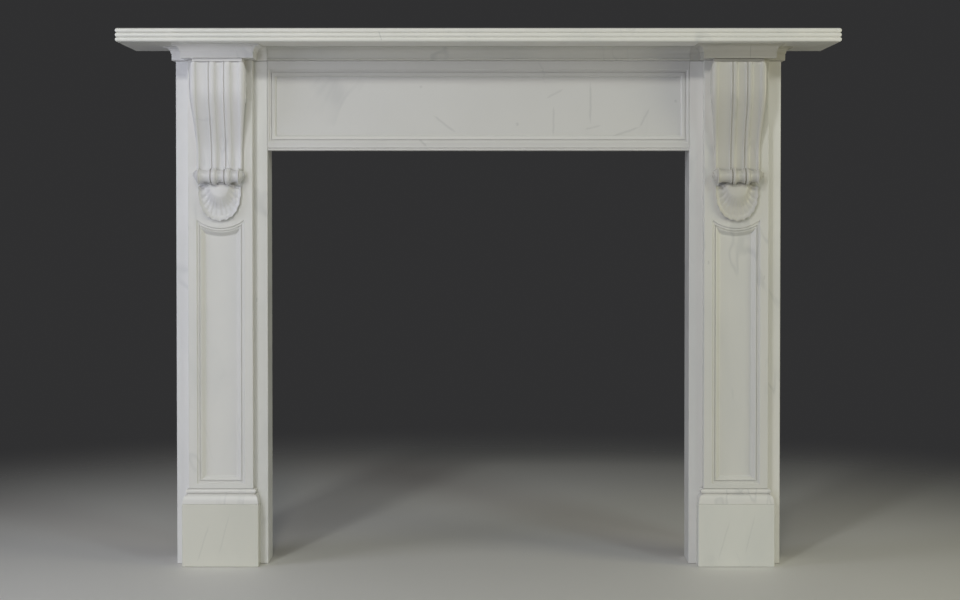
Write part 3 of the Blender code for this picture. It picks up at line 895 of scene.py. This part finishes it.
# %% Marble for the plain blocks
PLAIN_BLOCKS = {
    "jamb_left": ((1.03, 1.04, 1.07), [((-0.5088, 0.612), (-0.5084, 0.600), 0.0028, 0.30)]),
    "jamb_right": ((1.03, 1.03, 1.04), []),
    "plinth_left": ((0.92, 0.92, 0.86), [((-0.640, 0.010), (-0.612, 0.098), 0.0030, 0.16),
                                         ((-0.590, 0.030), (-0.566, 0.120), 0.0030, 0.14)]),
    "plinth_right": ((0.97, 0.98, 0.96), [((0.545, 0.015), (0.572, 0.105), 0.0030, 0.16),
                                          ((0.606, 0.028), (0.630, 0.118), 0.0030, 0.15)]),
}
for order, (node, (tone, veins)) in enumerate(PLAIN_BLOCKS.items()):
    stone = make_marble(node + " marble", (2.7 * order, 6.5, 4.8 + order), tone, veins=veins)
    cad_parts[node].data.materials.clear()
    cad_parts[node].data.materials.append(stone)
    print(node, "takes", stone.name)

# %% [markdown]
# The corbels
#
# A corbel is carved from one block. Its front is an S, full at the head and hollow at the
# neck, and its flanks carry an oval scroll. At its foot it curls up in a roll, whose ends
# are small turned eyes, and a scallop shell hangs under the roll. Sculpting would give it
# life but no rule; here each slice of the body is worked out from its level, so the flutes
# stay true along the whole curve. The right corbel's abacus stands back a little, which
# leaves a dark band over the scalloped top of its flutes.

# %% Corbel sizes
CORBEL_TOP = SOFFIT - JOINT
CORBEL_HEAD_PROJECTION = 0.045
CORBEL_NECK_PROJECTION = 0.010
CORBEL_WIDTH = 0.125
CORBEL_WAIST = 0.104
ABACUS_HEIGHT = 0.007
ABACUS_WIDTH = 0.113
ABACUS_SET_BACK = {-1: 0.0, 1: 0.012}
FLUTED_WIDTH_TOP = 0.099
FLUTED_WIDTH_FOOT = 0.093
FLUTE_DEPTH = 0.0038
CURL_HEIGHT = 0.021
CURL_BACK = 0.0026
HEAD_DROP = 0.063
NECK_DROP = 0.215


def curl(drop):
    """How far the head has rolled back, just under the abacus, as a share of the curl."""
    below = min(max(1.0 - (drop - ABACUS_HEIGHT) / CURL_HEIGHT, 0.0), 1.0)
    return 1.0 - math.sqrt(1.0 - below * below)


def swell(drop):
    """From 1 at a corbel's head to 0 at its neck, in an S-shaped curve."""
    return ease((NECK_DROP - drop) / (NECK_DROP - HEAD_DROP))


def corbel_half(drop):
    """Half the width of a corbel's body at one level."""
    waist = CORBEL_WAIST / 2
    return waist + (CORBEL_WIDTH / 2 - waist) * swell(drop) - 0.3 * CURL_HEIGHT * curl(drop)


print("half width at head and neck", round(corbel_half(HEAD_DROP), 4), round(corbel_half(NECK_DROP), 4))

# %% [markdown]
# Flutes and reeds
#
# Three shallow flutes run down the front, and a reed stands between each two. One side of
# a reed is a deep quirk and the other a slight step. They were carved by hand and not
# mirrored: the deep quirk is on the left of every reed, on both corbels, and the reeds sit
# a little differently on each. So the section is written from left to right, and turned
# about for the left corbel, where the places run the other way.

# %% Fluted front
GROOVE = 0.0034
GROOVE_DEPTH = 0.0034
GROOVE_SHAPE = [(-0.45, 0.35), (-0.20, 0.85), (0.00, 1.00), (0.20, 0.85)]
DEEP_SIDE = 0.55
SLIGHT_SIDE = 0.30
LIP = 0.0006
REED_PLACES = {-1: ((-0.38, 0.25), (0.31, 0.27)), 1: ((-0.30, 0.19), (0.37, 0.19))}
CREST_SHARE = 0.3
ROUND_SHARE = 0.65


def crowded(start, end, steps):
    """Places from start to end that crowd together towards both ends."""
    middle, half = (start + end) / 2, (end - start) / 2
    return [middle - half * math.cos(turn) for turn in spread(0.0, math.pi, steps)]


def flute(start, end, steps=16):
    """Places and depths across one shallow flute, with a rounded lip at each end."""
    return [(place, LIP + (FLUTE_DEPTH - LIP) * math.sin(math.pi * i / steps) ** 0.8)
            for i, place in enumerate(crowded(start, end, steps))]


def quirk_and_reed(start, width, steps=12):
    """A deep quirk, then the reed, then the slight step at its far side."""
    profile = [(start + across * GROOVE, deep * GROOVE_DEPTH) for across, deep in GROOVE_SHAPE]
    for i, place in enumerate(crowded(start + 0.4 * GROOVE, start + width, steps)):
        side_depth = GROOVE_DEPTH * (DEEP_SIDE + (SLIGHT_SIDE - DEEP_SIDE) * i / steps)
        profile.append((place, side_depth * (1.0 - math.sin(math.pi * i / steps))))
    return profile


def carved_front(side, half_fluted, half_whole):
    """Places across a fluted front and their depth below the reeds' crests."""
    flank = half_whole - half_fluted
    crest = half_fluted + CREST_SHARE * flank
    edge = [(half_fluted + 0.5 * (crest - half_fluted), 0.2 * LIP)]
    for share in spread(0.0, 1.0, 9):
        place = crest + (half_whole - crest) * math.sin(share * math.pi / 2)
        edge.append((place, ROUND_SHARE * flank * (1.0 - math.cos(share * math.pi / 2))))
    front = [(-place, deep) for place, deep in reversed(edge)]
    reached = -half_fluted
    for start, width in REED_PLACES[side]:
        front += flute(reached, start * half_fluted - 0.6 * GROOVE)
        front += quirk_and_reed(start * half_fluted, width * half_fluted)
        reached = (start + width) * half_fluted + 0.15 * GROOVE
    front += flute(reached, half_fluted)
    front += edge
    if side < 0:
        front = [(-place, deep) for place, deep in reversed(front)]
    return front


# %% [markdown]
# The scroll on the flanks
#
# Seen from the side, the head is wound into an oval scroll. It is a low relief, so it
# only pushes the flank out a little: the height follows a spiral, worked out from the
# angle round the scroll's eye and the distance from it.

# %% Flank scroll
VOLUTE_DROP = 0.058
VOLUTE_HEIGHT = 0.088
VOLUTE_DEPTH = 0.036
VOLUTE_RELIEF = 0.0025
VOLUTE_TURNS = 2.2
FLANK_STEPS = 30


def scroll_relief(forward, drop):
    """How far the scroll stands proud of the flank at one place."""
    over = (forward - CORBEL_HEAD_PROJECTION / 2) / (VOLUTE_DEPTH / 2)
    down = (drop - VOLUTE_DROP) / (VOLUTE_HEIGHT / 2)
    far = math.hypot(over, down)
    if far >= 1.0:
        return 0.0
    turn = math.atan2(down, over) / (2 * math.pi)
    ridge = 0.5 + 0.5 * math.cos(2 * math.pi * (VOLUTE_TURNS * (1.0 - far) - turn))
    eye = max(0.0, 1.0 - (far / 0.24) ** 2)
    height = max(0.25 + 0.75 * ridge, eye * 1.3)
    edge = min(1.0, (1.0 - far) / 0.12)
    return VOLUTE_RELIEF * height * math.sin(edge * math.pi / 2)


def corbel_slice(side, front, out_by, drop, tuck):
    """One level slice: the carved front, both flanks and the flat back."""
    height = CORBEL_TOP - drop
    back = PILASTER_FACE + JOINT
    points = [leg_point(side, place, PILASTER_FACE + out_by - deep, height) for place, deep in front]
    for end, (place, deep) in ((1, front[-1]), (-1, front[0])):
        start = PILASTER_FACE + out_by - deep
        flank = []
        for share in spread(0.0, 1.0, FLANK_STEPS)[1:]:
            forward = start + (back - start) * share
            proud = scroll_relief(forward - PILASTER_FACE, drop)
            flank.append(leg_point(side, place - end * tuck * share + end * proud, forward, height))
        points += flank if end == 1 else flank[::-1]
    return points


# %% [markdown]
# Body, roll and eyes
#
# The body is a stack of slices from the abacus down into the roll. The roll is turned
# about a level line, with the same flutes running on round it and cut deeper there. Each
# end of the roll is a low cone between two quirks, with a small eye at its tip, set a
# little high, the way a wound strip ends.

# %% Body
ROLL_DROP = 0.2645
ROLL_RADIUS = 0.019
ROLL_PROJECTION = 0.0385


def corbel_body(side):
    rings = []
    half = ABACUS_WIDTH / 2
    plain = carved_front(side, CORBEL_WAIST / CORBEL_WIDTH, 1.0)
    plain = [(place * half, 0.0) for place, deep in plain]
    abacus = CORBEL_HEAD_PROJECTION - ABACUS_SET_BACK[side]
    for drop, eased in ((0.0, 0.0004), (0.0004, 0.0), (ABACUS_HEIGHT - 0.0006, 0.0), (ABACUS_HEIGHT, 0.0006)):
        rings.append(corbel_slice(side, plain, abacus - eased, drop, 0.0))
    drops = [ABACUS_HEIGHT + CURL_HEIGHT * (0.02 + 0.98 * (i / 18) ** 1.6) for i in range(19)]
    last = drops[-1]
    drops += spread(last, ROLL_DROP - 0.8 * ROLL_RADIUS, 120)[1:]
    for drop in drops:
        full = swell(drop)
        half = corbel_half(drop)
        fluted = (FLUTED_WIDTH_FOOT + (FLUTED_WIDTH_TOP - FLUTED_WIDTH_FOOT) * full) / 2
        out_by = CORBEL_NECK_PROJECTION + (CORBEL_HEAD_PROJECTION - CORBEL_NECK_PROJECTION) * full
        out_by -= CURL_BACK * curl(drop)
        front = carved_front(side, fluted, half)
        rings.append(corbel_slice(side, front, out_by, drop, 0.35 * (half - fluted)))
    inner = carved_front(side, 0.44 * FLUTED_WIDTH_FOOT, 0.48 * FLUTED_WIDTH_FOOT)
    for drop in (ROLL_DROP - 0.7 * ROLL_RADIUS, ROLL_DROP + 0.2 * ROLL_RADIUS):
        rings.append(corbel_slice(side, inner, CORBEL_NECK_PROJECTION, drop, 0.0))
    return loft(rings)


# %% Roll
ROLL_SIDES = 64
ROLL_CARVING = 1.5


def turned_ring(side, place, radius, lift=0.0):
    """One upright circle about the roll's line."""
    centre = PILASTER_FACE + ROLL_PROJECTION - ROLL_RADIUS
    level = CORBEL_TOP - ROLL_DROP + lift
    return [leg_point(side, place, centre + radius * math.cos(2 * math.pi * i / ROLL_SIDES),
                      level + radius * math.sin(2 * math.pi * i / ROLL_SIDES)) for i in range(ROLL_SIDES)]


def corbel_roll(side):
    half = FLUTED_WIDTH_FOOT / 2
    return loft([turned_ring(side, place, ROLL_RADIUS - ROLL_CARVING * deep)
                 for place, deep in carved_front(side, half * 0.96, half)])


# %% Eyes at the ends of the roll
EYE_STEPS = [(0.00, 0.93), (0.04, 0.94), (0.09, 0.86), (0.13, 0.76), (0.17, 0.74), (0.22, 0.76), (0.45, 0.60),
             (0.68, 0.42), (0.73, 0.30), (0.77, 0.29), (0.82, 0.31), (0.91, 0.27), (0.97, 0.17), (1.0, 0.04)]
EYE_LENGTH = 0.0135
EYE_LIFT = 0.004


def corbel_eye(side, end):
    root = FLUTED_WIDTH_FOOT / 2 - 0.0008
    rings = []
    for reach, width in EYE_STEPS:
        place = end * (root + reach * EYE_LENGTH)
        rings.append(turned_ring(side, place, ROLL_RADIUS * width, EYE_LIFT * reach))
    return loft(rings)


# %% [markdown]
# The scallop shell
#
# The shell's ribs start close together at the hinge, behind the roll, run down, and bend
# outward to the scalloped edge. Each rib is a curve with three control points, and the
# mesh is a grid: across the ribs one way, along them the other. The dome of the shell,
# the hollow before its edge and the lifted rim are one relief curve along each rib.

# %% Shell
SHELL_WIDTH = 0.098
SHELL_LENGTH = 0.0705
SHELL_HINGE_WIDTH = 0.040
SHELL_HINGE_RISE = 0.022
SHELL_LOBES = 13
SHELL_FULLNESS = 2.3
SHELL_RELIEF = 0.0165
SHELL_HOLLOW = 0.0048
SHELL_RIM = 0.0100
RIB_DEPTH = 0.0007
SIDE_RIB_DEPTH = 0.0024
FALL_START, FALL_RUN = 0.38, 0.36
LIFT_START = 0.86
RIB_START, RIB_RUN = 0.60, 0.30


def shell_edge(share):
    """A point on the shell's scalloped edge, from its left shoulder round to the right."""
    half = SHELL_WIDTH / 2
    shoulder = ROLL_RADIUS / 2
    scallop = 1.0 - 0.035 * abs(math.cos(math.pi * SHELL_LOBES * share))
    lead = 0.08
    if share < lead:
        return -half * scallop, shoulder * (1.0 - share / lead)
    if share > 1.0 - lead:
        return half * scallop, shoulder * (1.0 - (1.0 - share) / lead)
    turn = math.pi * ((share - lead) / (1.0 - 2 * lead) - 0.5)
    power = 2.0 / SHELL_FULLNESS
    across = math.copysign(abs(math.sin(turn)) ** power, turn)
    return half * across * scallop, -SHELL_LENGTH * math.cos(turn) ** power * scallop


def shell_point(share, out):
    """Across, rise and relief of the shell's face, from hinge (0) to edge (1)."""
    edge_x, edge_z = shell_edge(share)
    swing = 2.0 * share - 1.0
    start_x = SHELL_HINGE_WIDTH / 2 * swing
    bend_x = 1.15 * start_x
    bend_z = SHELL_HINGE_RISE + (edge_z - SHELL_HINGE_RISE) * (0.5 + 0.4 * abs(swing) ** 2)
    first, second, third = (1 - out) ** 2, 2 * out * (1 - out), out ** 2
    across = first * start_x + second * bend_x + third * edge_x
    rise = first * SHELL_HINGE_RISE + second * bend_z + third * edge_z
    fall = ease((out - FALL_START) / FALL_RUN)
    lift = max((out - LIFT_START) / (1.0 - LIFT_START), 0.0)
    dome = SHELL_RELIEF * (1.0 - 0.3 * (1.0 - min(out / 0.34, 1.0)) ** 2)
    relief = dome * (1.0 - fall) + SHELL_HOLLOW * fall + (SHELL_RIM - SHELL_HOLLOW) * lift * lift
    relief *= 1.0 - 0.25 * swing * swing * (1.0 - fall)
    cut = ease((out - RIB_START + 0.45 * swing * swing) / RIB_RUN)
    groove = 1.0 - abs(math.sin(math.pi * SHELL_LOBES * share)) ** 0.9
    depth = RIB_DEPTH + (SIDE_RIB_DEPTH - RIB_DEPTH) * swing * swing
    relief -= depth * cut * groove
    return across, rise, relief


def corbel_shell(side):
    columns = SHELL_LOBES * 10
    rows = 40
    shape = bmesh.new()

    def vertex(across, rise, relief):
        return shape.verts.new(leg_point(side, across, PILASTER_FACE + JOINT + relief, SHELL_CENTRE + rise))

    grid = [[shell_point(j / columns, i / rows) for j in range(columns + 1)] for i in range(rows + 1)]
    front = [[vertex(*point) for point in line] for line in grid]
    for low, high in zip(front, front[1:]):
        for j in range(columns):
            shape.faces.new((low[j], low[j + 1], high[j + 1], high[j]))
    border = [(i, 0) for i in range(rows, 0, -1)]
    border += [(0, j) for j in range(columns + 1)]
    border += [(i, columns) for i in range(1, rows + 1)]
    border += [(rows, j) for j in range(columns - 1, 0, -1)]
    rim = [front[i][j] for i, j in border]
    middle = (0.0, -0.3 * SHELL_LENGTH)
    for pull, level in ((0.985, 0.72), (0.935, 0.45), (0.925, 0.0)):
        ring = []
        for i, j in border:
            across, rise, relief = grid[i][j]
            drawn = pull if i > 0 else 1.0
            ring.append(vertex(middle[0] + (across - middle[0]) * drawn,
                               middle[1] + (rise - middle[1]) * drawn, relief * level))
        for k in range(len(rim)):
            n = (k + 1) % len(rim)
            shape.faces.new((rim[k], rim[n], ring[n], ring[k]))
        rim = ring
    shape.faces.new(rim)
    return shape


# %% [markdown]
# Joining the carving
#
# Real carving is one stone, so the parts are joined by a Boolean union and nothing is
# left inside. The work is done for each leg from the same functions, mirrored by side.

# %% Corbels
CORBEL_TONE = {"left": (0.96, 0.96, 0.99), "right": (0.775, 0.765, 0.735)}
for name, side in SIDES.items():
    corbel = to_object("corbel_" + name + "_carving", corbel_body(side), 42.0)
    parts = [corbel_roll(side), corbel_eye(side, -1), corbel_eye(side, 1), corbel_shell(side)]
    for part in parts:
        combine(corbel, to_object("corbel_tool", part, 42.0), "UNION")
    stone = make_marble("corbel " + name + " marble", (0.9 * side, 7.3, 2.4), CORBEL_TONE[name])
    set_piece(corbel, "corbel_" + name, stone)
